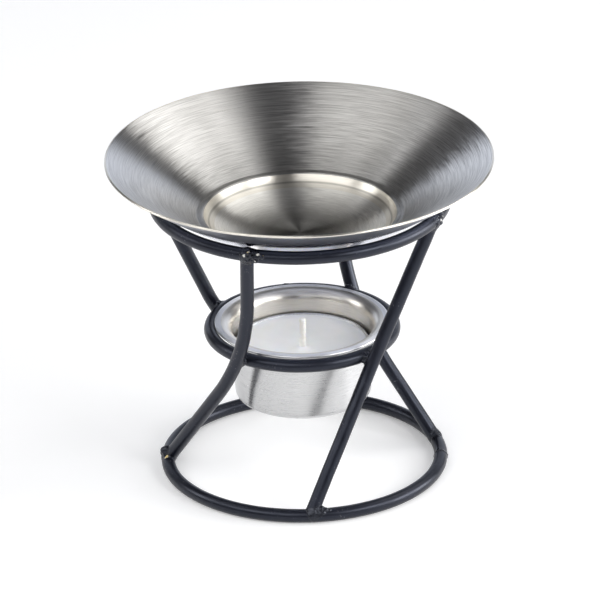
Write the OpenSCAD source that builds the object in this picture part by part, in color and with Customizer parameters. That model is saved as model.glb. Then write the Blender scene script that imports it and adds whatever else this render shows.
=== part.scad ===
// Essential oil burner: a welded wire stand with a loose steel oil dish on top
// and a loose steel candle cup with a tealight half way up.
// Millimetres, +Z up. The origin is on the surface the burner stands on, under
// the middle of the base ring. -Y is the front.

/* [Wire stand] */
// Diameter of the wire
wire_d = 4; // [3:0.1:5]
// Radius of the base ring, to the middle of its wire
base_ring_r = 40.5; // [38:0.5:46]
// Radius of the candle ring, to the middle of its wire
candle_ring_r = 27; // [26.5:0.1:28]
// Height of the candle ring, to the middle of its wire
candle_ring_z = 44; // [42:0.5:48]
// Radius of the top ring, to the middle of its wire
top_ring_r = 42.5; // [40:0.5:46]
// Height of the top ring, to the middle of its wire
top_ring_z = 85.5; // [84:0.5:92]

/* [Legs] */
// How far each leg's top stands off an even quarter spacing, in degrees
leg_top_off = [-1.5, -5, 2, 13]; // [-15:0.5:15]
// How far each leg's foot stands off an even quarter spacing, in degrees
leg_foot_off = [-4, -2, 10, 2]; // [-12:0.5:12]
// Height of the knee where the two straight runs of each leg would meet
knee_z = [47.5, 43, 46, 44]; // [42:0.5:49]
// Radius of the bend in each leg
bend_r = [90, 55, 90, 48]; // [30:1:92]

/* [Oil dish] */
// Outer radius of the rim
dish_rim_r = 57; // [52:0.5:62]
// Rise of the conical wall, in degrees
dish_wall_angle = 33.8; // [30:0.1:37]
// Thickness of the dish's sheet
dish_sheet = 0.8; // [0.6:0.1:0.9]
// Radius of the ring-shaped ledge where the wall starts
dish_ledge_r = 30.5; // [30.2:0.1:32]
// Radius of the bowl-shaped floor, to the foot of the step
dish_floor_r = 26.2; // [24.5:0.05:26.4]
// Radius of the flat middle of the bowl
dish_flat_r = 11; // [6:0.5:12]
// Slope of the bowl at its edge, in degrees
dish_floor_tilt = 29; // [26:0.5:31]
// Steepest slope of the step, in degrees
dish_step_tilt = 66; // [60:1:68]
// Radius of the hollow curve of the step
dish_step_r = 5.5; // [4.5:0.1:5.6]
// Height of the weld lumps on the top ring that the dish rests on
dish_stand = 0.35; // [0.2:0.05:0.5]

/* [Candle cup] */
// Outer radius of the flange
cup_flange_r = 25.8; // [25.5:0.1:26.4]
// Outer radius of the cup just under the flange
cup_top_r = 21.65; // [21.4:0.05:22]
// Outer radius of the cup at its floor
cup_floor_r = 20; // [19.9:0.05:20.4]
// Height of the cup's underside
cup_bottom_z = 23; // [21:0.1:24]
// Thickness of the cup's sheet
cup_sheet = 0.7; // [0.5:0.1:0.8]

/* [Tealight] */
// Radius of the tealight at its rim
tealight_r = 19.5; // [19:0.1:19.7]
// Height of the tealight, without the wick
tealight_h = 16; // [14:0.5:17]
// Diameter of the wick
wick_d = 1.9; // [1.2:0.1:2.2]
// Height of the wick above the wax
wick_h = 9.6; // [6:0.2:11]
// How far the wick stands in front of the tealight's middle
wick_off = 4; // [0:0.5:5]

/* [Hidden] */
$fn = 96;

wire_r = wire_d / 2;
// a loose piece stands this far off what carries it
seat = 0.1;
// a wire end stands this far off the ring it is welded to
butt = 0.02;

black = [0.13, 0.13, 0.15];
bead_black = [0.09, 0.09, 0.10];
steel = [0.74, 0.74, 0.75];

// legs in turn: front left, front right, back right, back left
leg_top_a = [for (i = [0:3]) 250 + 90 * i + leg_top_off[i]];
leg_foot_a = [for (i = [0:3]) 184 + 90 * i + leg_foot_off[i]];
// the knee's bearing, measured on from half way between foot and top
knee_on = [25.25, 8.5, 29.5, 12.5];
knee_a = [for (i = [0:3]) (leg_top_a[i] + leg_foot_a[i]) / 2 + knee_on[i]];
// the knee's radius beyond the candle ring, so that the bend just meets the ring
knee_out = [4.51, 3.61, 3.27, 4.03];
knee_r = [for (i = [0:3]) candle_ring_r + knee_out[i] * wire_d / 4];

// the bend is a hair thicker than the straight runs, which reach a little way into it
bend_swell = 0.012;
bend_lap = 0.6;

leg_z0 = wire_d + butt;
leg_z1 = top_ring_z - wire_r - butt;

// ---- small vector functions
function unit(v) = v / norm(v);
function polar(r, a, z) = [r * cos(a), r * sin(a), z];

// ---- sheet profiles: a middle line with rounded corners, given a thickness
function turn(d) = d > 180 ? d - 360 : d < -180 ? d + 360 : d;
function fillet(a, b, c, r, n) =
    let (u = unit(a - b), v = unit(c - b), g = acos(u * v), t = r / tan(g / 2),
         m = b + unit(u + v) * r / sin(g / 2), s = b + u * t - m, e = b + v * t - m,
         a0 = atan2(s.y, s.x), d = turn(atan2(e.y, e.x) - a0))
    [for (i = [0:n]) m + r * [cos(a0 + d * i / n), sin(a0 + d * i / n)]];
function rounded(p, r, n = 6) =
    [for (i = [0:len(p) - 1])
        each (r[i] == 0 ? [p[i]] : fillet(p[i - 1], p[i], p[i + 1], r[i], n))];
function side(p, i) =
    let (d1 = unit(i > 0 ? p[i] - p[i - 1] : p[1] - p[0]),
         d2 = i < len(p) - 1 ? unit(p[i + 1] - p[i]) : d1,
         n1 = [-d1.y, d1.x], m = unit(n1 + [-d2.y, d2.x])) m / (m * n1);
function shifted(p, d) = [for (i = [0:len(p) - 1]) p[i] + d * side(p, i)];
function sheet_outline(p, t) =
    let (k = len(p) - 1, d = unit(p[k] - p[k - 1]), a = atan2(d.y, d.x),
         up = shifted(p, t / 2), dn = shifted(p, -t / 2))
    concat([for (i = [0:k]) up[i]],
           [for (j = [1:5]) p[k] + t / 2 * [cos(a + 90 - 30 * j), sin(a + 90 - 30 * j)]],
           [for (i = [k:-1:0]) dn[i]]);

// the dish's middle line; its wall rests on the weld lumps of the top ring
wall_off = wire_r + dish_stand + seat + dish_sheet / 2;
function wall_z(r) = top_ring_z + (r - top_ring_r) * tan(dish_wall_angle) + wall_off / cos(dish_wall_angle);
// an arc that goes on from a point and turns from one slope to another
function arc_run(p, t0, t1, r, n) = let (k = t1 > t0 ? r : -r)
    [for (i = [1:n]) let (t = t0 + (t1 - t0) * i / n) p + k * [sin(t) - sin(t0), cos(t0) - cos(t)]];
// from the middle out: a shallow bowl with a flat middle, a hollow step up to a tight shoulder, a ledge that dips a hair, then the cone
shoulder_r = 0.5;
ledge_dip = 3;
bowl_r = (dish_floor_r - dish_flat_r) / sin(dish_floor_tilt);
shoulder_end = dish_floor_r + dish_step_r * (sin(dish_step_tilt) - sin(dish_floor_tilt))
    + shoulder_r * (sin(dish_step_tilt) + sin(ledge_dip));
well_z = wall_z(dish_ledge_r) + (dish_ledge_r - shoulder_end) * tan(ledge_dip)
    - shoulder_r * (cos(ledge_dip) - cos(dish_step_tilt)) - dish_step_r * (cos(dish_floor_tilt) - cos(dish_step_tilt))
    - bowl_r * (1 - cos(dish_floor_tilt));
dish_end_r = dish_rim_r - dish_sheet / 2;
bowl = concat([[0, well_z], [dish_flat_r, well_z]], arc_run([dish_flat_r, well_z], 0, dish_floor_tilt, bowl_r, 12));
step = arc_run(bowl[len(bowl) - 1], dish_floor_tilt, dish_step_tilt, dish_step_r, 8);
shoulder = arc_run(step[len(step) - 1], dish_step_tilt, -ledge_dip, shoulder_r, 5);
dish_line = concat(bowl, step, shoulder,
    fillet(shoulder[len(shoulder) - 1], [dish_ledge_r, wall_z(dish_ledge_r)], [dish_end_r, wall_z(dish_end_r)], 1.2, 6),
    [[dish_end_r, wall_z(dish_end_r)]]);

// the cup's middle line; the edge of its flange rests on the candle ring
flange_under = candle_ring_z + sqrt(pow(wire_r, 2) - pow(candle_ring_r - cup_flange_r, 2)) + seat;
flange_mid = flange_under + cup_sheet / 2;
cup_line = rounded([[0, cup_bottom_z + cup_sheet / 2], [cup_floor_r - cup_sheet / 2, cup_bottom_z + cup_sheet / 2],
    [cup_top_r - cup_sheet / 2, flange_mid], [cup_flange_r - cup_sheet / 2, flange_mid]], [0, 1.6, 2.9, 0]);

// the tealight's own thin cup
foil = 0.3;
tea_z = cup_bottom_z + cup_sheet + 0.05;
tea_top = tea_z + tealight_h;
tea_line = rounded([[0, tea_z + foil / 2], [tealight_r - 1.6, tea_z + foil / 2], [tealight_r - 0.35, tea_top - 0.45],
    [tealight_r, tea_top - foil / 2]], [0, 1.1, 0.4, 0]);
wax_top = tea_top - 0.75;
wax_bottom = tea_z + foil + 0.02;
foot_z = tea_z + foil + 0.02;

// ---- wire pieces
module ring(r, z) translate([0, 0, z]) rotate_extrude() translate([r, 0]) circle(r = wire_r);

module rod(a, b, r = wire_r) {
    d = b - a;
    translate(a) rotate([0, acos(d.z / norm(d)), atan2(d.y, d.x)]) cylinder(r = r, h = norm(d));
}

// one leg: straight, bend, straight, both ends cut level
function leg_head(i) = polar(top_ring_r, leg_top_a[i], top_ring_z);
function leg_foot(i) = polar(base_ring_r, leg_foot_a[i], wire_r);
function leg_knee(i) = polar(knee_r[i], knee_a[i], knee_z[i]);
function leg_u(i) = unit(leg_head(i) - leg_knee(i));
function leg_v(i) = unit(leg_foot(i) - leg_knee(i));
function leg_angle(i) = acos(leg_u(i) * leg_v(i));
function leg_tan(i) = bend_r[i] / tan(leg_angle(i) / 2);
function leg_centre(i) = leg_knee(i) + unit(leg_u(i) + leg_v(i)) * bend_r[i] / sin(leg_angle(i) / 2);
function leg_p1(i) = leg_knee(i) + leg_u(i) * leg_tan(i);
function leg_p2(i) = leg_knee(i) + leg_v(i) * leg_tan(i);
function leg_ex(i) = (leg_p1(i) - leg_centre(i)) / bend_r[i];
function leg_ey(i) = let (w = (leg_p2(i) - leg_centre(i)) / bend_r[i], x = leg_ex(i)) unit(w - (w * x) * x);
function leg_bend_pt(i, t) = leg_centre(i) + bend_r[i] * (cos(t) * leg_ex(i) + sin(t) * leg_ey(i));
// the point of the bend that is nearest to the candle ring
function ring_gap(p) = norm([norm([p.x, p.y]) - candle_ring_r, p.z - candle_ring_z]);
function leg_touch_t(i) =
    let (n = 160, s = 180 - leg_angle(i), g = [for (k = [0:n]) ring_gap(leg_bend_pt(i, s * k / n))], lo = min(g))
    [for (k = [0:n]) if (g[k] == lo) s * k / n][0];
function leg_touch(i) = leg_bend_pt(i, leg_touch_t(i));
function leg_touch_dir(i) = unit(leg_bend_pt(i, leg_touch_t(i) + 0.5) - leg_bend_pt(i, leg_touch_t(i) - 0.5));
// points on a leg's middle line at its two cut ends
function leg_top_end(i) = let (a = leg_head(i), k = leg_knee(i)) a + (k - a) * (a.z - leg_z1) / (a.z - k.z);
function leg_low_end(i) = let (a = leg_foot(i), k = leg_knee(i)) a + (k - a) * (leg_z0 - a.z) / (k.z - a.z);

module leg_wire(i) {
    x = leg_ex(i);
    y = leg_ey(i);
    z = cross(x, y);
    c = leg_centre(i);
    difference() {
        union() {
            rod(leg_head(i), leg_p1(i) - bend_lap * leg_u(i));
            multmatrix([[x.x, y.x, z.x, c.x], [x.y, y.y, z.y, c.y], [x.z, y.z, z.z, c.z], [0, 0, 0, 1]])
                rotate_extrude(angle = 180 - leg_angle(i)) translate([bend_r[i], 0]) circle(r = wire_r + bend_swell);
            rod(leg_p2(i) - bend_lap * leg_v(i), leg_foot(i));
        }
        translate([-80, -80, leg_z1]) cube([160, 160, 20]);
        translate([-80, -80, leg_z0 - 20]) cube([160, 160, 20]);
    }
}

// a weld bead, cut away where the wires run through it
module bead(p, r, i, ring_r, ring_z)
    difference() {
        translate(p) sphere(r = r);
        ring(ring_r, ring_z);
        leg_wire(i);
    }

// ---- pieces
module oil_dish() color(steel) rotate_extrude() polygon(sheet_outline(dish_line, dish_sheet));
module candle_cup() color(steel) rotate_extrude() polygon(sheet_outline(cup_line, cup_sheet));

module top_ring() color(black) ring(top_ring_r, top_ring_z);
module candle_ring() color(black) ring(candle_ring_r, candle_ring_z);
module base_ring() color(black) ring(base_ring_r, wire_r);

module leg_front_left() color(black) leg_wire(0);
module leg_front_right() color(black) leg_wire(1);
module leg_back_right() color(black) leg_wire(2);
module leg_back_left() color(black) leg_wire(3);

// a small lump on the ring's upper side at each leg, which carries the dish
lump_r = 0.9;
lump_at = wire_r + dish_stand - lump_r;
function lump(i) = polar(top_ring_r - lump_at * sin(dish_wall_angle), leg_top_a[i], top_ring_z + lump_at * cos(dish_wall_angle));
module top_ring_welds() color(bead_black)
    for (i = [0:3]) {
        bead(leg_top_end(i) + [0, 0, -0.1], wire_r * 1.45, i, top_ring_r, top_ring_z);
        difference() {
            translate(lump(i)) sphere(r = lump_r);
            ring(top_ring_r, top_ring_z);
        }
    }
module base_ring_welds() color(bead_black)
    for (i = [0:3]) bead(leg_low_end(i) + [0, 0, 0.2], wire_r * 1.4, i, base_ring_r, wire_r);
// where a leg crosses the candle ring, one bead in each open side of the crossing, melted a little way into both wires
module candle_ring_welds() color(bead_black)
    for (i = [0:3], k = [-1, 1])
        let (q = leg_touch(i), d = leg_touch_dir(i), a = atan2(q.y, q.x), t = [-sin(a), cos(a), 0],
             m = polar(candle_ring_r + wire_r, a, (q.z + candle_ring_z) / 2), b = unit(d * t > 0 ? d - t : d + t))
        translate(m + k * wire_r * b) sphere(r = wire_r * 0.66);

// the butt weld that closes each ring, a low bead over one side of the wire
module seam(r, z, a, lift)
    translate([0, 0, z]) rotate([0, 0, a]) rotate_extrude(angle = 100 / r) translate([r, 0])
        difference() {
            translate(0.4 * [cos(lift), sin(lift)]) circle(r = wire_r * 1.12);
            circle(r = wire_r);
        }
module ring_seam_welds() color(bead_black) {
    seam(top_ring_r, top_ring_z, 118, -15);
    seam(candle_ring_r, candle_ring_z, 98, -20);
    seam(base_ring_r, wire_r, 356, 55);
}

module tealight_cup() color([0.80, 0.80, 0.81]) rotate_extrude() polygon(sheet_outline(tea_line, foil));

// the wax stands just clear of the inside of its cup; it rises a little to the wick
module tealight_wax() color([0.93, 0.94, 0.92])
    difference() {
        union() {
            rotate_extrude() polygon([[0, wax_bottom], [tealight_r - 2.5, wax_bottom], [tealight_r - 1.74, wax_bottom + 1.2],
                [tealight_r - 0.6, wax_top + 0.15], [tealight_r - 1.0, wax_top], [0, wax_top]]);
            translate([0, -wick_off, wax_top - 0.2]) cylinder(r1 = wick_d * 1.35, r2 = wick_d * 0.62, h = 1.0);
        }
        translate([0, -wick_off, 0]) {
            translate([0, 0, wax_bottom - 1]) cylinder(r = wick_d / 2, h = 40);
            translate([0, 0, wax_bottom - 1]) cylinder(r = 6, h = 1.3);
            translate([0, 0, wax_bottom - 1]) cylinder(r = wick_d / 2 + 0.5, h = 4.2);
        }
    }

module tealight_wick() color([0.95, 0.94, 0.90])
    translate([0, -wick_off, foot_z + 0.3]) cylinder(r = wick_d / 2, h = wax_top + wick_h - foot_z - 0.3);

module wick_sustainer() color([0.70, 0.70, 0.70])
    translate([0, -wick_off, foot_z])
    difference() {
        union() {
            cylinder(r = 6, h = 0.3);
            cylinder(r = wick_d / 2 + 0.5, h = 3.2);
        }
        translate([0, 0, 0.3]) cylinder(r = wick_d / 2, h = 5);
    }

oil_dish();
top_ring();
candle_ring();
base_ring();
leg_front_left();
leg_front_right();
leg_back_right();
leg_back_left();
top_ring_welds();
candle_ring_welds();
base_ring_welds();
ring_seam_welds();
candle_cup();
tealight_cup();
tealight_wax();
tealight_wick();
wick_sustainer();
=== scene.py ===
import math

import bpy
import numpy as np
from mathutils import Matrix, Vector


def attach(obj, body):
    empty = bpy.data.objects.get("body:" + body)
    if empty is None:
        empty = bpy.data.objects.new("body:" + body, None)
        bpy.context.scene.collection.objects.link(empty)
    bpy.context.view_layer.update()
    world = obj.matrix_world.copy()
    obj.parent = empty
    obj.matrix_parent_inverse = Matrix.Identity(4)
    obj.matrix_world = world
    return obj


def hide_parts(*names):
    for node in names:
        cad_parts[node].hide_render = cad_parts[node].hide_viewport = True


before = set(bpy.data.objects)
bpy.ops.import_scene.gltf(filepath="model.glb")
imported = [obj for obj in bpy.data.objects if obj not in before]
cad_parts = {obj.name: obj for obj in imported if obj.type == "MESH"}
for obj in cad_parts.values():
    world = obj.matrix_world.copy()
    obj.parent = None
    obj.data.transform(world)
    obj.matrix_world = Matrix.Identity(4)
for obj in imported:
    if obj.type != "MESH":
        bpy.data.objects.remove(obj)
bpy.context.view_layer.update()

MM = 0.001
TAU = 2 * math.pi
scene = bpy.context.scene
scene.view_settings.view_transform = "Standard"
scene.view_settings.look = "None"

# ------------------------------------------------------------------ sizes, in millimetres, as in the CAD
WIRE = 2.0
BASE_R, BASE_Z = 40.5, 2.0
CANDLE_R, CANDLE_Z = 27.0, 44.0
TOP_R, TOP_Z = 42.5, 85.5
TOP_A = [248.5, 335.0, 72.0, 173.0]
FOOT_A = [180.0, 272.0, 14.0, 96.0]
KNEE_A = [239.5, 312.0, 72.5, 147.0]
KNEE_R = [31.51, 30.61, 30.27, 31.03]
KNEE_Z = [47.5, 43.0, 46.0, 44.0]
BEND_R = [90.0, 55.0, 90.0, 48.0]
LEGS = ["leg_front_left", "leg_front_right", "leg_back_right", "leg_back_left"]


# ------------------------------------------------------------------ small helpers
def unit(v):
    v = np.asarray(v, float)
    return v / np.linalg.norm(v)


def polar(r, deg, z):
    a = math.radians(deg)
    return np.array([r * math.cos(a), r * math.sin(a), z])


def mesh_object(name, verts_mm, faces, mats, ids=None):
    me = bpy.data.meshes.new(name)
    me.from_pydata((np.asarray(verts_mm, float) * MM).tolist(), [], faces)
    for m in mats:
        me.materials.append(m)
    if ids is not None:
        me.polygons.foreach_set("material_index", np.asarray(ids, np.int32))
    me.polygons.foreach_set("use_smooth", np.ones(len(me.polygons), bool))
    me.update()
    ob = bpy.data.objects.new(name, me)
    scene.collection.objects.link(ob)
    return ob


def fillet(a, b, c, r, n):
    a, b, c = (np.asarray(x, float) for x in (a, b, c))
    u, v = unit(a - b), unit(c - b)
    g = math.acos(float(np.clip(u @ v, -1, 1)))
    m = b + unit(u + v) * r / math.sin(g / 2)
    t = r / math.tan(g / 2)
    s, e = b + u * t - m, b + v * t - m
    a0 = math.atan2(s[1], s[0])
    d = (math.atan2(e[1], e[0]) - a0 + math.pi) % TAU - math.pi
    return [m + r * np.array([math.cos(a0 + d * i / n), math.sin(a0 + d * i / n)]) for i in range(n + 1)]


def rounded(points, radii, n=14):
    out = []
    for i, (p, r) in enumerate(zip(points, radii)):
        out += [np.asarray(p, float)] if r == 0 else fillet(points[i - 1], p, points[i + 1], r, n)
    return out


def dense(points, step):
    """The same line with its long runs cut into steps."""
    out = [np.asarray(points[0], float)]
    for p in points[1:]:
        p = np.asarray(p, float)
        k = max(1, int(math.ceil(np.linalg.norm(p - out[-1]) / step)))
        q = out[-1]
        out += [q + (p - q) * i / k for i in range(1, k + 1)]
    return np.array(out)


def sides_of(line):
    """Left normals along a line, as in an offset curve."""
    d = np.diff(line, axis=0)
    d /= np.linalg.norm(d, axis=1)[:, None]
    n = np.c_[-d[:, 1], d[:, 0]]
    n = np.vstack([n[:1], n[:-1] + n[1:], n[-1:]])
    return n / np.linalg.norm(n, axis=1)[:, None]


def lathe(name, outline, n, mats, zone=None):
    """A solid of revolution. The outline runs from the axis, over the top side, round the edge and back to the axis below.
    zone(r, z, i) gives the material of the band that starts at point i."""
    pts = np.asarray(outline, float)
    ang = np.arange(n) * TAU / n
    ca, sa = np.cos(ang), np.sin(ang)
    verts, rows = [], []
    for r, z in pts:
        if r < 1e-6:
            rows.append([len(verts)])
            verts.append((0, 0, z))
        else:
            k = len(verts)
            rows.append(list(range(k, k + n)))
            verts.extend(np.c_[r * ca, r * sa, np.full(n, z)].tolist())
    faces, ids = [], []
    for i in range(len(rows) - 1):
        a, b = rows[i], rows[i + 1]
        mid = (pts[i] + pts[i + 1]) / 2
        z = 0 if zone is None else zone(mid[0], mid[1], i)
        for j in range(n):
            k = (j + 1) % n
            if len(a) == 1 and len(b) == 1:
                continue
            if len(a) == 1:
                faces.append((a[0], b[j], b[k]))
            elif len(b) == 1:
                faces.append((a[j], b[0], a[k]))
            else:
                faces.append((a[j], b[j], b[k], a[k]))
            ids.append(z)
    return mesh_object(name, verts, faces, mats, ids)


def frames_along(path, closed):
    """Tangents and two cross directions that turn with the path."""
    p = np.asarray(path, float)
    if closed:
        t = np.roll(p, -1, 0) - np.roll(p, 1, 0)
    else:
        t = np.gradient(p, axis=0)
    t /= np.linalg.norm(t, axis=1)[:, None]
    u = np.zeros_like(t)
    ref = np.array([0, 0, 1.0]) if abs(t[0][2]) < 0.9 else np.array([1.0, 0, 0])
    u[0] = unit(ref - (ref @ t[0]) * t[0])
    for i in range(1, len(p)):
        w = u[i - 1] - (u[i - 1] @ t[i]) * t[i]
        u[i] = w / np.linalg.norm(w)
    return t, u, np.cross(t, u)


def sweep(name, path, radius, sides, mats, closed=False):
    """A round wire along a path. radius(i, angle) may vary."""
    p = np.asarray(path, float)
    t, u, v = frames_along(p, closed)
    ang = np.arange(sides) * TAU / sides
    m = len(p)
    r = radius(np.arange(m)[:, None], ang[None, :]) * np.ones((m, sides))
    co = p[:, None, :] + r[..., None] * (np.cos(ang)[None, :, None] * u[:, None, :] + np.sin(ang)[None, :, None] * v[:, None, :])
    verts = co.reshape(-1, 3).tolist()
    faces = []
    for i in range(m if closed else m - 1):
        a, b = i * sides, (i + 1) % m * sides
        for j in range(sides):
            k = (j + 1) % sides
            faces.append((a + j, a + k, b + k, b + j))
    if not closed:
        verts += [p[0].tolist(), p[-1].tolist()]
        c0, c1, e = m * sides, m * sides + 1, (m - 1) * sides
        for j in range(sides):
            k = (j + 1) % sides
            faces += [(c0, k, j), (c1, e + j, e + k)]
    return mesh_object(name, verts, faces, mats)


def waves(seed, scale, count=26):
    """Smooth seeded noise over points: many plane waves of about the same length."""
    rng = np.random.default_rng(seed)
    k = rng.normal(size=(count, 3))
    k *= (TAU / scale * rng.uniform(0.6, 1.7, count) / np.linalg.norm(k, axis=1))[:, None]
    ph = rng.uniform(0, TAU, count)

    def f(p):
        return np.sin(p @ k.T + ph).sum(-1) * math.sqrt(2 / count)

    return f


# ------------------------------------------------------------------ materials
def new_material(name):
    m = bpy.data.materials.new(name)
    m.use_nodes = True
    m.node_tree.nodes.clear()
    return m


class Nodes:
    """Short forms for building a shader tree."""

    def __init__(self, mat):
        self.t = mat.node_tree

    def add(self, kind, **props):
        n = self.t.nodes.new(kind)
        for k, v in props.items():
            setattr(n, k, v)
        return n

    def link(self, a, b):
        self.t.links.new(a, b)

    def put(self, socket, value):
        if isinstance(value, bpy.types.NodeSocket):
            self.link(value, socket)
        elif value is not None:
            socket.default_value = value

    def math(self, op, a, b=None, c=None, clamp=False):
        n = self.add("ShaderNodeMath", operation=op, use_clamp=clamp)
        for s, v in zip(n.inputs, (a, b, c)):
            self.put(s, v)
        return n.outputs[0]

    def vmath(self, op, a, b=None, scale=None):
        n = self.add("ShaderNodeVectorMath", operation=op)
        self.put(n.inputs[0], a)
        if b is not None:
            self.put(n.inputs[1], b)
        if scale is not None:
            self.put(n.inputs["Scale"], scale)
        return n.outputs["Value"] if op in ("LENGTH", "DOT_PRODUCT") else n.outputs[0]

    def noise(self, vector, scale, detail=2.0, rough=0.5, distortion=0.0):
        n = self.add("ShaderNodeTexNoise")
        self.put(n.inputs["Vector"], vector)
        n.inputs["Scale"].default_value = scale
        n.inputs["Detail"].default_value = detail
        n.inputs["Roughness"].default_value = rough
        n.inputs["Distortion"].default_value = distortion
        return n.outputs["Fac"]

    def ramp(self, value, lo, hi, out_lo=0.0, out_hi=1.0, smooth=False):
        n = self.add("ShaderNodeMapRange", interpolation_type="SMOOTHSTEP" if smooth else "LINEAR")
        self.put(n.inputs["Value"], value)
        for k, v in (("From Min", lo), ("From Max", hi), ("To Min", out_lo), ("To Max", out_hi)):
            n.inputs[k].default_value = v
        return n.outputs["Result"]

    def mix(self, fac, a, b):
        n = self.add("ShaderNodeMix", data_type="RGBA")
        self.put(n.inputs[0], fac)
        self.put(n.inputs[6], a if isinstance(a, bpy.types.NodeSocket) else (*a, 1))
        self.put(n.inputs[7], b if isinstance(b, bpy.types.NodeSocket) else (*b, 1))
        return n.outputs[2]

    def bump(self, height, strength, distance, normal=None):
        n = self.add("ShaderNodeBump")
        n.inputs["Strength"].default_value = strength
        n.inputs["Distance"].default_value = distance
        self.put(n.inputs["Height"], height)
        if normal is not None:
            self.put(n.inputs["Normal"], normal)
        return n.outputs["Normal"]

    def surface(self, **values):
        p = self.add("ShaderNodeBsdfPrincipled")
        for k, v in values.items():
            self.put(p.inputs[k.replace("_", " ")], v)
        o = self.add("ShaderNodeOutputMaterial")
        self.link(p.outputs[0], o.inputs["Surface"])
        return p


def ring_coords(n, turns, across):
    """Coordinates for marks that run round the Z axis: slow round it, fast across it."""
    obj = n.add("ShaderNodeTexCoord").outputs["Object"]
    xyz = n.add("ShaderNodeSeparateXYZ")
    n.link(obj, xyz.inputs[0])
    flat = n.add("ShaderNodeCombineXYZ")
    n.link(xyz.outputs[0], flat.inputs[0])
    n.link(xyz.outputs[1], flat.inputs[1])
    r = n.vmath("LENGTH", flat.outputs[0])
    s = n.math("ADD", r, xyz.outputs[2])
    dirn = n.vmath("NORMALIZE", flat.outputs[0])
    turn = n.vmath("SCALE", dirn, scale=turns)
    up = n.add("ShaderNodeCombineXYZ")
    n.link(n.math("MULTIPLY", s, across), up.inputs[2])
    return n.vmath("ADD", turn, up.outputs[0]), obj, r, xyz.outputs[2]


def brushed_steel(name, dark, light, rough, spread, aniso, grain=0.12, wander=0.05, rotation=0.25, inward_shade=None, loose=0.0, line=None):
    m = new_material(name)
    n = Nodes(m)
    fine, obj, r, z = ring_coords(n, 5.5, 3900.0)
    wide, _, _, _ = ring_coords(n, 3.0, 1900.0)
    a = n.noise(fine, 1.0, 3.0, 0.6)
    b = n.noise(wide, 1.0, 2.0, 0.55)
    c = n.noise(obj, 38.0, 2.0, 0.5)
    streak = n.math("ADD", n.math("MULTIPLY", a, 0.74), n.math("MULTIPLY", b, 0.26))
    tone = n.ramp(streak, 0.38, 0.62)
    colour = n.mix(tone, dark, light)
    if inward_shade:
        # painted shade: the colour darkens towards the middle: radius there, radius where it is full, and the tone it
        # starts from
        painted_shade_tone = n.mix(tone, [x * inward_shade[2] for x in dark], [x * inward_shade[2] for x in light])
        colour = n.mix(n.ramp(r, inward_shade[0] * MM, inward_shade[1] * MM, smooth=True), painted_shade_tone, colour)
        # painted shade: darker still in a small spot at the very middle
        if loose:
            spot = n.mix(tone, [x * inward_shade[2] * 0.5 for x in dark], [x * inward_shade[2] * 0.5 for x in light])
            colour = n.mix(n.ramp(r, 0.0, 0.6 * loose * MM, smooth=True), spot, colour)
    if line:
        # painted shade: a thin dark ring in the colour, where the step shows a dark band between its bright ones: its
        # radius, half its width, and its tone
        off = n.math("ABSOLUTE", n.math("SUBTRACT", r, line[0] * MM))
        colour = n.mix(n.ramp(off, 0.0, line[1] * MM, 1.0, 0.0, smooth=True), colour, [x * line[2] for x in dark])
    smear = n.ramp(c, 0.35, 0.65, -0.5, 0.5)
    rgh = n.math("ADD", n.ramp(streak, 0.3, 0.7, rough - spread, rough + spread), n.math("MULTIPLY", smear, spread * 0.7), clamp=True)
    tan = n.add("ShaderNodeTangent", direction_type="RADIAL", axis="Z").outputs[0]
    # each stroke leans a little along its own run; towards the middle the strokes turn tightly and run into each other
    amount = n.ramp(n.math("ADD", n.math("MULTIPLY", a, 0.75), n.math("MULTIPLY", b, 0.25)), 0.2, 0.8, -wander, wander)
    if loose:
        amount = n.math("MULTIPLY", amount, n.ramp(r, 0.5 * MM, loose * MM, 2.2, 1.0))
        rgh = n.math("ADD", rgh, n.ramp(r, 0.0, loose * MM, 0.34, 0.0, smooth=True), clamp=True)
    lean = n.add("ShaderNodeVectorMath", operation="SCALE")
    n.link(tan, lean.inputs[0])
    n.link(amount, lean.inputs["Scale"])
    normal = n.vmath("NORMALIZE", n.vmath("ADD", n.bump(streak, grain, 0.00006), lean.outputs[0]))
    n.surface(Base_Color=colour, Metallic=1.0, Roughness=rgh, Anisotropic=aniso, Anisotropic_Rotation=rotation, Tangent=tan, Normal=normal)
    return m


def polished_steel(name, dark, light, rough, aniso, rotation=0.25, outer=None, grain=0.015):
    m = new_material(name)
    n = Nodes(m)
    fine, obj, r, z = ring_coords(n, 5.0, 3800.0)
    a = n.noise(fine, 1.0, 2.0, 0.5)
    c = n.noise(obj, 120.0, 2.0, 0.5)
    colour = n.mix(n.ramp(a, 0.3, 0.7), dark, light)
    rgh = n.math("ADD", n.ramp(a, 0.3, 0.7, rough * 0.9, rough * 1.1), n.ramp(c, 0.4, 0.6, -0.012, 0.012), clamp=True)
    if outer:
        # the polish fades outwards into satin, and the colour darkens there as a painted dark reflection: radius where
        # it starts to, radius where it has, the roughness and the tone there
        fade = n.ramp(r, outer[0] * MM, outer[1] * MM, smooth=True)
        rgh = n.math("ADD", rgh, n.math("MULTIPLY", fade, outer[2] - rough), clamp=True)
        colour = n.mix(fade, colour, n.mix(n.ramp(a, 0.3, 0.7), [x * outer[3] for x in dark], [x * outer[3] for x in light]))
    tan = n.add("ShaderNodeTangent", direction_type="RADIAL", axis="Z")
    finish = {"Normal": n.bump(a, grain, 0.00004)} if grain else {}
    n.surface(Base_Color=colour, Metallic=1.0, Roughness=rgh, Anisotropic=aniso, Anisotropic_Rotation=rotation,
              Tangent=tan.outputs[0], **finish)
    return m


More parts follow.
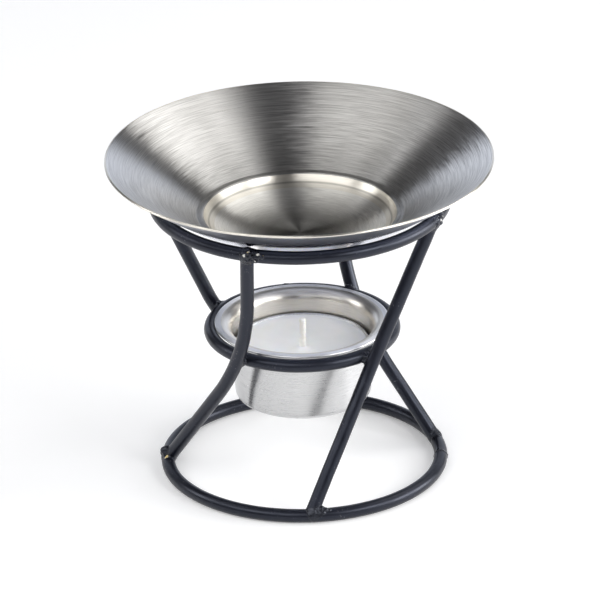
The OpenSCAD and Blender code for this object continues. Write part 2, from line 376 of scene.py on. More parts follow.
def powder_coat(name, base, rough, peel, specks=True):
    m = new_material(name)
    n = Nodes(m)
    obj = n.add("ShaderNodeTexCoord").outputs["Object"]
    skin = n.noise(obj, 2600.0, 2.0, 0.55)
    soft = n.noise(obj, 700.0, 2.0, 0.5)
    blot = n.noise(obj, 120.0, 3.0, 0.55)
    dust = n.noise(obj, 1900.0, 0.0, 0.5)
    dusty = n.math("MULTIPLY", n.ramp(dust, 0.72, 0.80), n.ramp(blot, 0.5, 0.62))
    light = tuple(min(1.0, x * 1.7) for x in base)
    colour = n.mix(n.ramp(blot, 0.35, 0.7), base, light)
    if specks:
        colour = n.mix(n.math("MULTIPLY", dusty, 0.55), colour, (0.16, 0.16, 0.17))
    rgh = n.math("ADD", n.ramp(blot, 0.3, 0.7, rough - 0.06, rough + 0.07), n.ramp(skin, 0.3, 0.7, -0.04, 0.04), clamp=True)
    h = n.math("ADD", n.math("MULTIPLY", skin, 0.35), n.math("MULTIPLY", soft, 0.65))
    # painted reflection: the coat's reflections are tinted blue, standing in for bluish surroundings
    n.surface(Base_Color=colour, Metallic=0.0, Roughness=rgh, Specular_IOR_Level=0.51, Specular_Tint=(0.75, 0.81, 1.0, 1.0), IOR=1.5,
              Normal=n.bump(h, peel, 0.00025))
    return m


def weld_coat(name, flecks_and_glints, gloss=(0.14, 0.34), lumpy=0.45):
    """Glossy black over rough weld metal. The spots given are (x, y, z, radius) in mm: where the coat is off and bare
    metal shows, and where glints on crater rims are painted in.
    """
    m = new_material(name)
    n = Nodes(m)
    obj = n.add("ShaderNodeTexCoord").outputs["Object"]
    lump = n.noise(obj, 1500.0, 3.0, 0.6)
    blot = n.noise(obj, 420.0, 3.0, 0.6)
    edge = n.noise(obj, 2600.0, 2.0, 0.6)
    bare_and_glint = None
    for x, y, z, r in flecks_and_glints:
        d = n.add("ShaderNodeVectorMath", operation="DISTANCE")
        n.link(obj, d.inputs[0])
        d.inputs[1].default_value = (x / 1000, y / 1000, z / 1000)
        far = n.math("ADD", n.math("MULTIPLY", d.outputs["Value"], 1000.0 / r), n.math("MULTIPLY", n.math("SUBTRACT", edge, 0.5), 2.2))
        spot = n.ramp(far, 0.80, 0.95, 1.0, 0.0)
        bare_and_glint = spot if bare_and_glint is None else n.math("MAXIMUM", bare_and_glint, spot)
    colour = n.mix(n.ramp(blot, 0.35, 0.65), (0.0035, 0.0037, 0.006), (0.009, 0.0095, 0.013))
    # painted highlight: the spots take a white to gold colour, partly bare weld metal, partly glints on crater rims
    colour = n.mix(bare_and_glint, colour, n.mix(n.ramp(blot, 0.45, 0.55), (0.80, 0.78, 0.72), (0.72, 0.56, 0.22)))
    rgh = n.ramp(lump, 0.3, 0.7, *gloss)
    # painted reflection: the coat's reflections are tinted blue, standing in for bluish surroundings
    n.surface(Base_Color=colour, Metallic=0.0, Roughness=rgh, Specular_IOR_Level=0.5, Specular_Tint=(0.80, 0.85, 1.0, 1.0), IOR=1.5, Normal=n.bump(lump, lumpy, 0.0003))
    return m


# painted shade: the wall's colour darkens towards its inner edge
DISH_WALL = brushed_steel("dish_brushed_steel", (0.47, 0.46, 0.448), (0.80, 0.79, 0.77), 0.33, 0.05, 0.92, 0.15, 0.062, inward_shade=(30.0, 46.0, 0.66))
# painted shade: the floor's colour darkens towards the middle and most in a spot at the centre
DISH_FLOOR = brushed_steel("dish_floor_steel", (0.80, 0.785, 0.745), (1.0, 0.985, 0.94), 0.34, 0.05, 0.92, 0.15, 0.075, inward_shade=(8.5, 23.0, 0.21), loose=16.0)
# painted shade: a thin dark ring at 26.8 mm on the step
DISH_POLISH = brushed_steel("dish_polished_step", (0.79, 0.755, 0.68), (0.90, 0.865, 0.79), 0.36, 0.03, 0.94, 0.05, 0.03, line=(26.8, 0.45, 0.62))
# painted reflection: a blue tint and, past 48 mm, a darker colour stand for the bluish dark surroundings the underside
# mirrors
DISH_UNDER = polished_steel("dish_polished_underside_painted_reflection", (0.58, 0.61, 0.72), (0.66, 0.69, 0.80), 0.13, 0.2, outer=(44.0, 48.0, 0.30, 0.34))
CUP_STEEL = brushed_steel("cup_brushed_steel", (0.61, 0.61, 0.615), (0.70, 0.70, 0.70), 0.29, 0.03, 0.92, 0.06, 0.018)
# painted light: the flange's steel is coloured lighter than the cup's wall to brighten it
CUP_LIP = brushed_steel("cup_satin_flange_painted_lighter", (0.84, 0.84, 0.86), (0.92, 0.92, 0.94), 0.54, 0.04, 0.8, 0.05, 0.03)
CUP_INSIDE = polished_steel("cup_bright_inside", (0.68, 0.65, 0.60), (0.77, 0.74, 0.69), 0.34, 0.6, grain=0.0)
CUP_EDGE = polished_steel("cup_flange_edge", (0.88, 0.88, 0.89), (0.92, 0.92, 0.93), 0.32, 0.3, grain=0.0)
COAT = powder_coat("stand_powder_coat", (0.0028, 0.0031, 0.0062), 0.37, 0.06)
def flecks_and_glints(rows):
    """Rows of radius, bearing and height of a point, how far along the ring the spot is from it, and its size. The
    spots are flecks of bare metal and painted glints.
    """
    return [(*(polar(r, a, z) + np.array([-math.sin(math.radians(a)), math.cos(math.radians(a)), 0]) * t), size) for r, a, z, t, size in rows]


# bare flecks and painted glints on the weld beads
WELD = weld_coat("weld_powder_coat", flecks_and_glints([(TOP_R + 2.0, 248.5, TOP_Z + 1.6, 1.4, 0.50), (TOP_R + 2.4, 248.5, TOP_Z + 0.7, 0.1, 0.50),
                                             (TOP_R + 2.0, 248.5, TOP_Z + 1.5, 4.2, 0.42), (TOP_R + 1.8, 248.5, TOP_Z + 1.6, 5.8, 0.42),
                                             (TOP_R + 2.3, 248.5, TOP_Z - 0.9, 3.2, 0.40), (TOP_R + 2.2, 335.0, TOP_Z + 1.4, 1.6, 0.40),
                                             (TOP_R + 2.5, 335.0, TOP_Z + 0.6, 0.2, 0.40)]))
WELD_FOOT = weld_coat("weld_foot_powder_coat", flecks_and_glints([(BASE_R + 0.4, 180.0, BASE_Z + 2.1, 3.3, 0.52), (BASE_R + 0.9, 180.0, BASE_Z + 1.9, 3.9, 0.42),
                                                       (BASE_R + 0.5, 272.0, BASE_Z + 2.4, 5.6, 0.38)]), (0.24, 0.40), 0.22)


def foil_material():
    m = new_material("tealight_drawn_aluminium")
    n = Nodes(m)
    fine, obj, r, z = ring_coords(n, 30.0, 500.0)
    a = n.noise(fine, 1.0, 2.0, 0.5)
    b = n.noise(obj, 300.0, 2.0, 0.5)
    colour = n.mix(n.ramp(a, 0.3, 0.7), (0.56, 0.56, 0.57), (0.70, 0.70, 0.71))
    n.surface(Base_Color=colour, Metallic=1.0, Roughness=n.ramp(b, 0.3, 0.7, 0.34, 0.46), Normal=n.bump(a, 0.15, 0.0001))
    return m


def wax_material():
    m = new_material("white_paraffin_wax")
    n = Nodes(m)
    obj = n.add("ShaderNodeTexCoord").outputs["Object"]
    cloud = n.noise(obj, 160.0, 3.0, 0.55)
    grain = n.noise(obj, 1400.0, 2.0, 0.5)
    colour = n.mix(n.ramp(cloud, 0.3, 0.7), (0.90, 0.91, 0.895), (0.95, 0.955, 0.94))
    p = n.surface(Base_Color=colour, Metallic=0.0, Roughness=n.ramp(cloud, 0.3, 0.7, 0.36, 0.5), IOR=1.43, Subsurface_Weight=0.55,
                  Subsurface_Scale=0.0022, Normal=n.bump(n.math("ADD", n.math("MULTIPLY", cloud, 0.8), n.math("MULTIPLY", grain, 0.2)), 0.12, 0.0004))
    p.inputs["Subsurface Radius"].default_value = (1.0, 0.85, 0.65)
    return m


def cotton_material():
    m = new_material("waxed_cotton_wick")
    n = Nodes(m)
    obj = n.add("ShaderNodeTexCoord").outputs["Object"]
    xyz = n.add("ShaderNodeSeparateXYZ")
    n.link(obj, xyz.inputs[0])
    fibre = n.noise(n.vmath("MULTIPLY", obj, (6000.0, 6000.0, 1500.0)), 1.0, 3.0, 0.6)
    colour = n.mix(n.ramp(fibre, 0.3, 0.7), (0.88, 0.86, 0.81), (0.96, 0.95, 0.92))
    p = n.surface(Base_Color=colour, Metallic=0.0, Roughness=n.ramp(fibre, 0.3, 0.7, 0.5, 0.72), IOR=1.45, Subsurface_Weight=0.35,
                  Subsurface_Scale=0.0006, Normal=n.bump(fibre, 0.35, 0.0001))
    p.inputs["Subsurface Radius"].default_value = (1.0, 0.85, 0.65)
    return m


def tin_material():
    m = new_material("tinned_steel")
    n = Nodes(m)
    obj = n.add("ShaderNodeTexCoord").outputs["Object"]
    a = n.noise(obj, 900.0, 3.0, 0.6)
    colour = n.mix(n.ramp(a, 0.35, 0.65), (0.55, 0.55, 0.55), (0.72, 0.72, 0.72))
    n.surface(Base_Color=colour, Metallic=1.0, Roughness=n.ramp(a, 0.3, 0.7, 0.25, 0.4), Normal=n.bump(a, 0.1, 0.0001))
    return m


FOIL, WAX, COTTON, TIN = foil_material(), wax_material(), cotton_material(), tin_material()


# ------------------------------------------------------------------ oil dish
TAN_WALL = math.tan(math.radians(33.8))


def wall_z(r):
    return TOP_Z + (r - TOP_R) * TAN_WALL + 2.85 / math.cos(math.radians(33.8))


DISH_T = 0.8


def sheet_outline(line, t, edge):
    """Both sides of a sheet round its middle line, with a rounded outer edge."""
    nrm = sides_of(line)
    up, dn = line + nrm * t / 2, line - nrm * t / 2
    up[0][0] = dn[0][0] = 0.0
    d = unit(line[-1] - line[-2])
    a = math.atan2(d[1], d[0])
    cap = [line[-1] + t / 2 * np.array([math.cos(a + math.pi / 2 - math.pi * j / edge), math.sin(a + math.pi / 2 - math.pi * j / edge)])
           for j in range(1, edge)]
    return np.vstack([up, cap, dn[::-1]]), len(up), len(up) + len(cap)


def arc_run(at, tilts, radius, n):
    """Points along an arc that starts at a point and turns from one tilt to the other."""
    t = np.radians(np.linspace(tilts[0], tilts[1], n))
    k = radius if tilts[1] > tilts[0] else -radius
    return [np.array([at[0] + k * (math.sin(a) - math.sin(t[0])), at[1] + k * (math.cos(t[0]) - math.cos(a))]) for a in t]


def sin_d(a):
    return math.sin(math.radians(a))


def cos_d(a):
    return math.cos(math.radians(a))


# a shallow bowl with a flat middle, a hollow step up to a tight shoulder, a narrow ledge, then the cone
FLOOR_R, FLAT_R, FLOOR_TILT, STEP_TILT, STEP_R, SHOULDER_R, DIP = 26.2, 11.0, 29.0, 66.0, 5.5, 0.5, 3.0
BOWL_R = (FLOOR_R - FLAT_R) / sin_d(FLOOR_TILT)
shoulder_end = FLOOR_R + STEP_R * (sin_d(STEP_TILT) - sin_d(FLOOR_TILT)) + SHOULDER_R * (sin_d(STEP_TILT) + sin_d(DIP))
WELL_Z = (wall_z(30.5) + (30.5 - shoulder_end) * math.tan(math.radians(DIP)) - SHOULDER_R * (cos_d(DIP) - cos_d(STEP_TILT))
          - STEP_R * (cos_d(FLOOR_TILT) - cos_d(STEP_TILT)) - BOWL_R * (1 - cos_d(FLOOR_TILT)))
bowl = [np.array([0.0, WELL_Z])] + arc_run((FLAT_R, WELL_Z), (0, FLOOR_TILT), BOWL_R, 34)
hollow = arc_run(bowl[-1], (FLOOR_TILT, STEP_TILT), STEP_R, 22)
shoulder = arc_run(hollow[-1], (STEP_TILT, -DIP), SHOULDER_R, 16)
dish_line = dense(bowl + hollow[1:] + shoulder[1:]
                  + fillet(shoulder[-1], (30.5, wall_z(30.5)), (56.6, wall_z(56.6)), 1.2, 14) + [(56.6, wall_z(56.6))], 0.9)
dish_out, n_up, n_edge = sheet_outline(dish_line, DISH_T, 10)


def dish_zone(r, z, i):
    if i >= n_edge - 1:
        return 2
    if i >= n_up - 1:
        return 1
    if r < 25.0:
        return 3
    if r < 28.3:
        return 1
    return 0


dish = lathe("oil_dish_spun", dish_out, 288, [DISH_WALL, DISH_POLISH, DISH_UNDER, DISH_FLOOR], dish_zone)
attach(dish, "dish")
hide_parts("oil_dish")

# ------------------------------------------------------------------ candle cup
FLANGE_MID = CANDLE_Z + math.sqrt(4 - 1.2 ** 2) + 0.1 + 0.35
cup_line = dense(rounded([(0, 23.35), (19.65, 23.35), (21.3, FLANGE_MID), (25.45, FLANGE_MID)], [0, 1.6, 2.9, 0], 24), 0.8)
cup_out, c_up, c_edge = sheet_outline(cup_line, 0.7, 10)


def cup_zone(r, z, i):
    if r > 25.40:
        return 3
    if i >= c_edge - 1:
        return 0 if z < FLANGE_MID - 1.2 else 1
    if r > 24.0:
        return 1
    return 2


cup = lathe("candle_cup_drawn", cup_out, 256, [CUP_STEEL, CUP_LIP, CUP_INSIDE, CUP_EDGE], cup_zone)
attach(cup, "cup")
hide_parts("candle_cup")

# ------------------------------------------------------------------ tealight
TEA_Z = 23.75
TEA_TOP = TEA_Z + 16.0
tea_line = dense(rounded([(0, TEA_Z + 0.15), (17.9, TEA_Z + 0.15), (19.15, TEA_TOP - 0.45), (19.5, TEA_TOP - 0.15)], [0, 1.1, 0.4, 0], 10), 0.8)
tea_out, _, _ = sheet_outline(tea_line, 0.3, 8)
tea = lathe("tealight_foil_cup", tea_out, 192, [FOIL])
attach(tea, "tealight")
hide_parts("tealight_cup")

WAX_TOP = TEA_TOP - 0.75
WAX_LOW = TEA_Z + 0.32
WICK_Y = -4.0


def wax_height(x, y):
    """The top of the wax: a meniscus at the foil, a faint sag and a small mound at the wick."""
    r = np.hypot(x, y)
    d = np.hypot(x, y - WICK_Y)
    return (WAX_TOP - 0.10 + 0.50 * np.exp((r - 18.9) / 0.5) + 0.05 * np.sin(x * 0.31 + 1.0) * np.cos(y * 0.27)
            + 1.15 * np.exp(-((d / 1.75) ** 2)) + 0.12 * np.exp(-((d / 4.0) ** 2)))


def make_wax():
    n, verts, faces = 192, [], []
    ang = np.arange(n) * TAU / n
    # polar net centred on the wick so that its mound is round
    fr = np.concatenate([np.linspace(0.0, 0.2, 14)[1:], np.linspace(0.2, 0.93, 30)[1:], np.linspace(0.93, 1.0, 14)[1:]])
    edge = np.c_[18.9 * np.cos(ang), 18.9 * np.sin(ang)]
    w = np.array([0.0, WICK_Y])
    verts.append((0.0, WICK_Y, float(wax_height(0.0, WICK_Y))))
    for f in fr:
        xy = w + (edge - w) * f
        verts.extend(np.c_[xy, wax_height(xy[:, 0], xy[:, 1])].tolist())
    for r, z in ((18.86, WAX_TOP - 0.6), (18.3, 31.5), (17.76, WAX_LOW + 1.2), (17.4, WAX_LOW + 0.4), (17.0, WAX_LOW)):
        verts.extend(np.c_[r * np.cos(ang), r * np.sin(ang), np.full(n, z)].tolist())
    rings = (len(verts) - 1) // n
    verts.append((0.0, 0.0, WAX_LOW))
    for j in range(n):
        k = (j + 1) % n
        faces.append((0, 1 + j, 1 + k))
        for i in range(rings - 1):
            a, b = 1 + i * n, 1 + (i + 1) * n
            faces.append((a + j, b + j, b + k, a + k))
        e = 1 + (rings - 1) * n
        faces.append((e + j, len(verts) - 1, e + k))
    return mesh_object("tealight_wax_fill", verts, faces, [WAX])


wax = make_wax()
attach(wax, "tealight")
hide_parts("tealight_wax")


def make_wick():
    z = np.linspace(TEA_Z + 0.32 + 0.32, WAX_TOP + 9.6, 210)
    h = np.clip((z - WAX_TOP) / 9.6, 0, 1)
    path = np.c_[0.10 * np.sin(h * 2.2), WICK_Y + 0.08 * h * h, z]

    def radius(i, a):
        zz = z[i.ravel()][:, None]
        # three strands plaited over one another, pressed a little flat
        plait = 0.07 * np.abs(np.sin(1.5 * a + zz * 2.3)) + 0.07 * np.abs(np.sin(1.5 * a - zz * 2.3))
        top = np.sqrt(np.clip((WAX_TOP + 9.6 - zz) / 0.35, 0.02, 1))
        return (0.86 + plait + 0.03 * np.sin(zz * 9.1 + 3 * a)) * (0.72 + 0.28 * top)

    return sweep("tealight_wick_plait", path, radius, 30, [COTTON])


wick = make_wick()
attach(wick, "tealight")
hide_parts("tealight_wick")

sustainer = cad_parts["wick_sustainer"]
sustainer.data.materials.clear()
sustainer.data.materials.append(TIN)


# ------------------------------------------------------------------ wire stand
def leg_points(i):
    head, foot, knee = polar(TOP_R, TOP_A[i], TOP_Z), polar(BASE_R, FOOT_A[i], BASE_Z), polar(KNEE_R[i], KNEE_A[i], KNEE_Z[i])
    u, v = unit(head - knee), unit(foot - knee)
    g = math.acos(float(u @ v))
    t = BEND_R[i] / math.tan(g / 2)
    c = knee + unit(u + v) * BEND_R[i] / math.sin(g / 2)
    p1, p2 = knee + u * t, knee + v * t
    ex = (p1 - c) / BEND_R[i]
    w = (p2 - c) / BEND_R[i]
    ey = unit(w - (w @ ex) * ex)
    arc = [c + BEND_R[i] * (math.cos(a) * ex + math.sin(a) * ey) for a in np.linspace(0, math.pi - g, 60)]
    a = [head + (p1 - head) * k for k in np.linspace(0, 1, 40)[:-1]]
    b = [p2 + (foot - p2) * k for k in np.linspace(0, 1, 40)[1:]]
    return np.array(a + arc + b)


leg_line = [leg_points(i) for i in range(4)]


def wire_radius(path, seed, amount=0.02):
    f = waves(seed, 9.0)
    off = amount * f(np.asarray(path))

    def radius(i, a):
        return WIRE - 0.02 + off[i.ravel()][:, None] * np.cos(a - i * 0.05)

    return radius


for i, name in enumerate(LEGS):
    ob = sweep(name + "_wire", leg_line[i], wire_radius(leg_line[i], 40 + i), 36, [COAT])
    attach(ob, "stand")
    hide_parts(name)

for k, (name, r, z) in enumerate((("top_ring", TOP_R, TOP_Z), ("candle_ring", CANDLE_R, CANDLE_Z), ("base_ring", BASE_R, BASE_Z))):
    a = np.arange(320) * TAU / 320
    path = np.c_[r * np.cos(a), r * np.sin(a), np.full(320, z)]
    ob = sweep(name + "_wire", path, wire_radius(path, 60 + k, 0.012), 36, [COAT], closed=True)
    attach(ob, "stand")
    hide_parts(name)


# ------------------------------------------------------------------ weld beads
def surface_nets(f, origin, h):
    """Quads over the zero level of a sampled field, negative inside."""
    s = f < 0
    shape = np.array(f.shape) - 1
    acc, cnt, edges = np.zeros((*shape, 3)), np.zeros(shape), []
    for ax in range(3):
        lo, hi = [slice(None)] * 3, [slice(None)] * 3
        lo[ax], hi[ax] = slice(0, -1), slice(1, None)
        fa, fb = f[tuple(lo)], f[tuple(hi)]
        hit = s[tuple(lo)] != s[tuple(hi)]
        idx = np.argwhere(hit)
        pos = idx.astype(float)
        pos[:, ax] += fa[hit] / (fa[hit] - fb[hit])
        o1, o2 = [x for x in range(3) if x != ax]
        for d1 in (0, -1):
            for d2 in (0, -1):
                c = idx.copy()
                c[:, o1] += d1
                c[:, o2] += d2
                ok = ((c >= 0) & (c < shape)).all(1)
                np.add.at(acc, tuple(c[ok].T), pos[ok])
                np.add.at(cnt, tuple(c[ok].T), 1)
        edges.append((ax, o1, o2, idx, s[tuple(lo)][hit]))
    on = cnt > 0
    index = np.full(shape, -1)
    index[on] = np.arange(on.sum())
    verts = origin + h * acc[on] / cnt[on][:, None]
    faces = []
    for ax, o1, o2, idx, inside in edges:
        quad = []
        for d1, d2 in ((-1, -1), (0, -1), (0, 0), (-1, 0)):
            c = idx.copy()
            c[:, o1] += d1
            c[:, o2] += d2
            quad.append(index[tuple(c.T)])
        q = np.stack(quad, 1)
        flip = inside if ax == 1 else ~inside
        q[flip] = q[flip][:, ::-1]
        faces += q.tolist()
    return verts, faces


def smin(a, b, k):
    h = np.clip(0.5 + 0.5 * (b - a) / k, 0, 1)
    return b + (a - b) * h - k * h * (1 - h)


def to_line(p, line):
    best = None
    for a, b in zip(line[:-1], line[1:]):
        d = b - a
        t = np.clip(((p - a) @ d) / (d @ d), 0, 1)
        e = np.linalg.norm(p - a - t[..., None] * d, axis=-1)
        best = e if best is None else np.minimum(best, e)
    return best


def weld(centre, ring_r, ring_z, line, reach, swell, blend, balls, seed, rough=0.1, h=0.15, pits=()):
    """One bead where a leg's line meets a ring: a fillet between the two wires that swells at the joint and sinks into the
    wires away from it, with drops of weld metal (centre, radius) run into it and pits (centre, radius) blown out of it. It
    ends just above the floor and just under the dish."""
    half = reach * 1.55 + 0.6
    k = int(math.ceil(half / h))
    g = np.arange(-k, k + 1) * h
    p = np.stack(np.meshgrid(g, g, g, indexing="ij"), -1) + centre
    near = line[np.linalg.norm(line - centre, axis=1) < half * 1.9 + 4][::3]
    d_ring = np.hypot(np.hypot(p[..., 0], p[..., 1]) - ring_r, p[..., 2] - ring_z) - WIRE
    d_leg = to_line(p, near) - WIRE
    rho = np.linalg.norm(p - centre, axis=-1) / reach
    lift = -swell * np.clip(1 - rho * rho, 0, 1) + 0.14 * np.clip(rho * 1.3 - 0.3, 0, 1) + 3.2 * np.clip(rho - 1.12, 0, None)
    f = smin(d_ring, d_leg, blend) + lift
    for c, r in balls:
        f = smin(f, np.linalg.norm(p - c, axis=-1) - r, 0.22)
    for c, r in pits:
        f = -smin(-f, np.linalg.norm(p - c, axis=-1) - r, 0.12)
    skin = np.abs(f) < 0.6
    q = p[skin]
    f[skin] += (waves(seed, 1.5)(q) * 0.6 + waves(seed + 1, 0.8)(q) * 0.4) * rough * np.clip(1.25 - rho[skin], 0, 1)
    f = np.maximum(f, 0.03 - p[..., 2])
    if ring_z == TOP_Z:
        slope = math.radians(33.8)
        f = np.maximum(f, math.cos(slope) * (p[..., 2] - TOP_Z) - math.sin(slope) * (np.hypot(p[..., 0], p[..., 1]) - TOP_R) - 2.38)
    # closed inside the sampled box
    f = np.maximum(f, np.abs(p - centre).max(-1) - (k - 1.5) * h)
    return surface_nets(f, centre - k * h, h)


def drops(seed, at, axes, spans, count, sizes):
    """Seeded drops of weld metal round a point, spread over the given axes."""
    rng = np.random.default_rng(seed)
    out = []
    for _ in range(count):
        o = sum(rng.uniform(lo, hi) * ax for ax, (lo, hi) in zip(axes, spans))
        out.append((at + o, rng.uniform(*sizes)))
    return out


def local(deg):
    a = math.radians(deg)
    return np.array([-math.sin(a), math.cos(a), 0.0]), np.array([math.cos(a), math.sin(a), 0.0]), np.array([0, 0, 1.0])


def join(parts):
    verts, faces, base = [], [], 0
    for v, f in parts:
        verts.append(v)
        faces += [[i + base for i in q] for q in f]
        base += len(v)
    return np.vstack(verts), faces


def weld_piece(name, node, parts, coat=WELD):
    v, f = join(parts)
    ob = mesh_object(name, v, f, [coat])
    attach(ob, "stand")
    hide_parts(node)
    return ob


def around(c, axes, rows):
    return [(c + sum(k * ax for k, ax in zip(row[:3], axes)), row[3]) for row in rows]


# drops and pits at the beads, along the ring, outwards and up from the ring's middle line, with a radius (mm)
TOP_DROPS = [[(0.1, 1.7, 0.5, 0.85), (1.3, 1.8, 0.9, 1.15), (2.7, 1.6, 0.2, 0.75), (4.0, 1.5, 0.9, 1.15), (5.4, 1.4, 0.6, 0.75), (1.0, 1.6, -0.9, 0.8),
              (2.6, 1.2, 1.3, 0.8), (3.6, 1.6, -0.7, 0.6), (-1.4, 1.4, 0.9, 0.6)],
             [(0.2, 1.7, 0.4, 1.0), (1.5, 1.5, 1.2, 1.1), (3.0, 1.1, 1.5, 0.9), (-1.2, 1.7, 0.0, 0.8), (0.9, 1.9, -0.6, 0.7), (4.1, 0.9, 1.6, 0.6), (2.2, 1.9, 0.5, 0.6)],
             None, None]
TOP_PITS = [[(1.3, 3.05, 1.1, 0.62), (4.0, 2.7, 1.25, 0.6), (2.7, 2.6, -0.2, 0.35)], [(0.8, 2.9, 0.9, 0.45), (2.4, 2.4, 1.5, 0.4)], (), ()]
TOP_SHIFT = [2.0, 1.0, 0.0, 0.0]
FOOT_DROPS = [[(0.9, 1.15, 3.0, 1.15), (0.9, 0.2, 3.1, 1.5), (0.3, 1.2, 1.9, 1.1), (1.6, 0.5, 1.9, 1.1), (3.2, 0.4, 1.2, 0.9), (-0.9, 0.9, 1.7, 0.8)],
              [(3.2, 0.1, 2.0, 1.1), (4.4, 0.2, 1.6, 0.95), (5.6, 0.2, 1.45, 0.7), (3.7, 0.9, 1.2, 0.8)],
              [(-1.2, 0.5, 1.3, 0.75), (0.3, 0.9, 1.2, 0.8), (1.5, 0.8, 1.0, 0.7), (-2.4, 0.2, 1.5, 0.55)],
              [(-1.0, 0.6, 1.3, 0.8), (0.6, 0.8, 1.2, 0.75), (1.8, 0.5, 1.2, 0.7)]]
FOOT_PITS = [(), [(4.0, 0.9, 2.55, 0.5)], (), ()]
FOOT_SHIFT = [0.3, 2.2, 0.0, 0.0]

top_parts, base_parts, mid_parts = [], [], []
for i in range(4):
    axes = t, nrm, up = local(TOP_A[i])
    c = polar(TOP_R, TOP_A[i], TOP_Z)
    q = c + t * TOP_SHIFT[i] + nrm * 0.5 - up * 0.6
    balls = around(c, axes, TOP_DROPS[i]) if TOP_DROPS[i] else drops(100 + i, c + nrm * 1.55, axes, ((-2.3, 2.3), (-0.5, 0.25), (-1.6, 1.1)), 7, (0.35, 0.75))
    balls.append((c - nrm * 0.80 + up * 1.19, 0.9))
    top_parts.append(weld(q, TOP_R, TOP_Z, leg_line[i], 3.5 if i < 2 else 3.3, 0.12, 1.5, balls, 200 + 3 * i, 0.13, 0.12 if i < 2 else 0.15,
                          around(c, axes, TOP_PITS[i])))

    axes = t, nrm, up = local(FOOT_A[i])
    c = polar(BASE_R, FOOT_A[i], BASE_Z)
    q = c + t * FOOT_SHIFT[i] + up * 1.4
    balls = around(c, axes, FOOT_DROPS[i])
    base_parts.append(weld(q, BASE_R, BASE_Z, leg_line[i], 3.1, 0.15, 1.3, balls, 400 + 3 * i, 0.06, 0.12 if i < 3 else 0.15,
                           around(c, axes, FOOT_PITS[i])))

    gap = np.hypot(np.hypot(leg_line[i][:, 0], leg_line[i][:, 1]) - CANDLE_R, leg_line[i][:, 2] - CANDLE_Z)
    w = leg_line[i][int(gap.argmin())]
    deg = math.degrees(math.atan2(w[1], w[0]))
    t, nrm, up = local(deg)
    c = polar(CANDLE_R + WIRE, deg, (w[2] + CANDLE_Z) / 2)
    balls = drops(500 + i, c, (t, nrm, up), ((-2.0, 2.0), (-0.8, 0.6), (-1.9, 1.9)), 7, (0.35, 0.7))
    mid_parts.append(weld(c, CANDLE_R, CANDLE_Z, leg_line[i], 3.0, 0.12, 1.9, balls, 600 + 3 * i, 0.1))

weld_piece("top_ring_weld_beads", "top_ring_welds", top_parts)
weld_piece("base_ring_weld_beads", "base_ring_welds", base_parts, WELD_FOOT)
weld_piece("candle_ring_weld_beads", "candle_ring_welds", mid_parts)


def seam(ring_r, ring_z, deg, seed, h=0.12):
    """The ground-down butt weld that closes a ring: a low rough collar."""
    centre = polar(ring_r, deg, ring_z)
    t, nrm, up = local(deg)
    k = int(math.ceil(3.4 / h))
    g = np.arange(-k, k + 1) * h
    p = np.stack(np.meshgrid(g, g, g, indexing="ij"), -1) + centre
    d = np.hypot(np.hypot(p[..., 0], p[..., 1]) - ring_r, p[..., 2] - ring_z) - WIRE
    s = np.abs((p - centre) @ t)
    lift = -0.10 * np.exp(-((s / 0.7) ** 2)) + 0.16 * np.clip(s - 0.55, 0, None) ** 1.2 + 4 * np.clip(s - 1.5, 0, None)
    f = d + lift
    skin = np.abs(f) < 0.5
    f[skin] += 0.07 * waves(seed, 0.9)(p[skin]) * np.exp(-((s[skin] / 1.0) ** 2))
    f = np.maximum(f, np.abs(p - centre).max(-1) - (k - 1.5) * h)
    f = np.maximum(f, 0.03 - p[..., 2])
    return surface_nets(f, centre - k * h, h)


weld_piece("ring_seam_weld_beads", "ring_seam_welds",
           [seam(TOP_R, TOP_Z, 119.2, 701), seam(CANDLE_R, CANDLE_Z, 99.8, 702), seam(BASE_R, BASE_Z, 357.2, 703)])


# ------------------------------------------------------------------ floor, light and camera
def floor_material():
    m = new_material("pale_floor")
    n = Nodes(m)
    obj = n.add("ShaderNodeTexCoord").outputs["Object"]
    a = n.noise(obj, 3.0, 2.0, 0.5)
    n.surface(Base_Color=n.mix(n.ramp(a, 0.3, 0.7), (0.875, 0.875, 0.88), (0.885, 0.885, 0.885)), Roughness=0.85, Specular_IOR_Level=0.2,
              Emission_Color=(1, 1, 1, 1), Emission_Strength=0.22)
    return m


a = np.arange(96) * TAU / 96
floor = mesh_object("floor", [(0, 0, 0)] + np.c_[4000 * np.cos(a), 4000 * np.sin(a), np.zeros(96)].tolist(),
                    [(0, 1 + j, 1 + (j + 1) % 96) for j in range(96)], [floor_material()])
floor.location.z = -0.00002

world = bpy.data.worlds.new("studio")
scene.world = world
world.use_nodes = True
world.node_tree.nodes["Background"].inputs["Color"].default_value = (0.93, 0.93, 1.0, 1)
world.node_tree.nodes["Background"].inputs["Strength"].default_value = 0.075


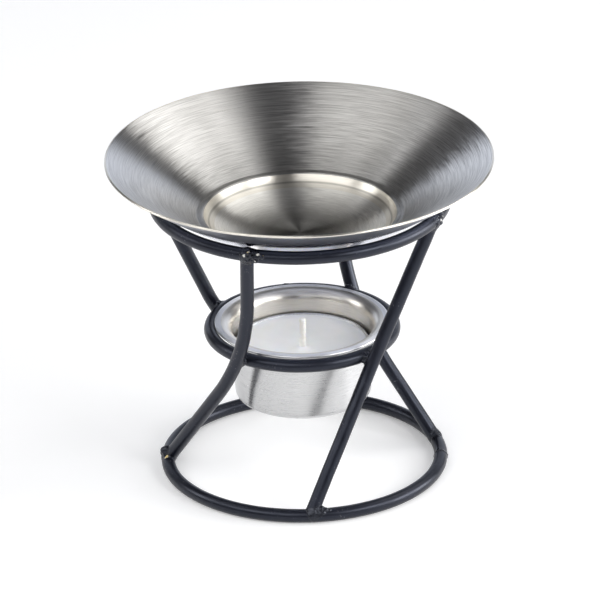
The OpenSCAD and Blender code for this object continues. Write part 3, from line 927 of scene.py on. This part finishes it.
def soft_box(name, azimuth, elevation, wide, high, glow, tint=(1, 1, 1), roll=0):
    """A soft box that faces the object from that bearing (0 is +X, 90 the back, 270 the front). It spans so many degrees
    seen from the object, leans by roll degrees and has that brightness."""
    a, e = math.radians(azimuth), math.radians(elevation)
    l = bpy.data.lights.new(name, "AREA")
    l.shape = "RECTANGLE"
    l.size = 2 * math.tan(math.radians(wide / 2))
    l.size_y = 2 * math.tan(math.radians(high / 2))
    l.energy = math.pi * l.size * l.size_y * glow
    l.color = tint
    ob = bpy.data.objects.new(name, l)
    aim = Vector((0, 0, 0.06))
    ob.location = aim + Vector((math.cos(a) * math.cos(e), math.sin(a) * math.cos(e), math.sin(e)))
    face = (aim - ob.location).to_track_quat("-Z", "Y").to_matrix()
    ob.rotation_euler = (face @ Matrix.Rotation(math.radians(roll), 3, "Z")).to_euler()
    ob.visible_camera = False
    scene.collection.objects.link(ob)
    return ob


COOL, WARM = (0.82, 0.88, 1.0), (1.0, 0.99, 0.96)
soft_box("key", 35.3, 52.5, 19.5, 42, 1.9, WARM, roll=31)
soft_box("top_left", 171.5, 68.8, 15, 36, 1.75, WARM, roll=-25)
soft_box("right_low", 1, 12, 40, 24, 8.3)
soft_box("right_mid", 0, 40, 50, 26, 0.7)
soft_box("back_low", 89, 12, 75, 26, 1.12, COOL)
soft_box("left", 174, 27, 22, 28, 3.8)
soft_box("front_left", 235, 40, 62, 26, 3.0)
soft_box("front_right", 321, 28, 26, 21, 7.4)

cam = bpy.data.cameras.new("camera")
cam.sensor_width = 36.0
cam.lens = 7471.3 / 600 * 36
cam.clip_start, cam.clip_end = 0.05, 50
camera = bpy.data.objects.new("camera", cam)
tilt = math.radians(24.54)
look_up = Vector((0, math.sin(tilt), math.cos(tilt)))
camera.location = Vector((-0.00050, -2.2 * math.cos(tilt), 0.052 + 2.2 * math.sin(tilt))) + 0.000754 * look_up
camera.rotation_euler = (Matrix.Rotation(math.pi / 2 - tilt, 3, "X") @ Matrix.Rotation(math.radians(-1.04), 3, "Z")).to_euler()
scene.collection.objects.link(camera)
scene.camera = camera

bpy.context.view_layer.update()
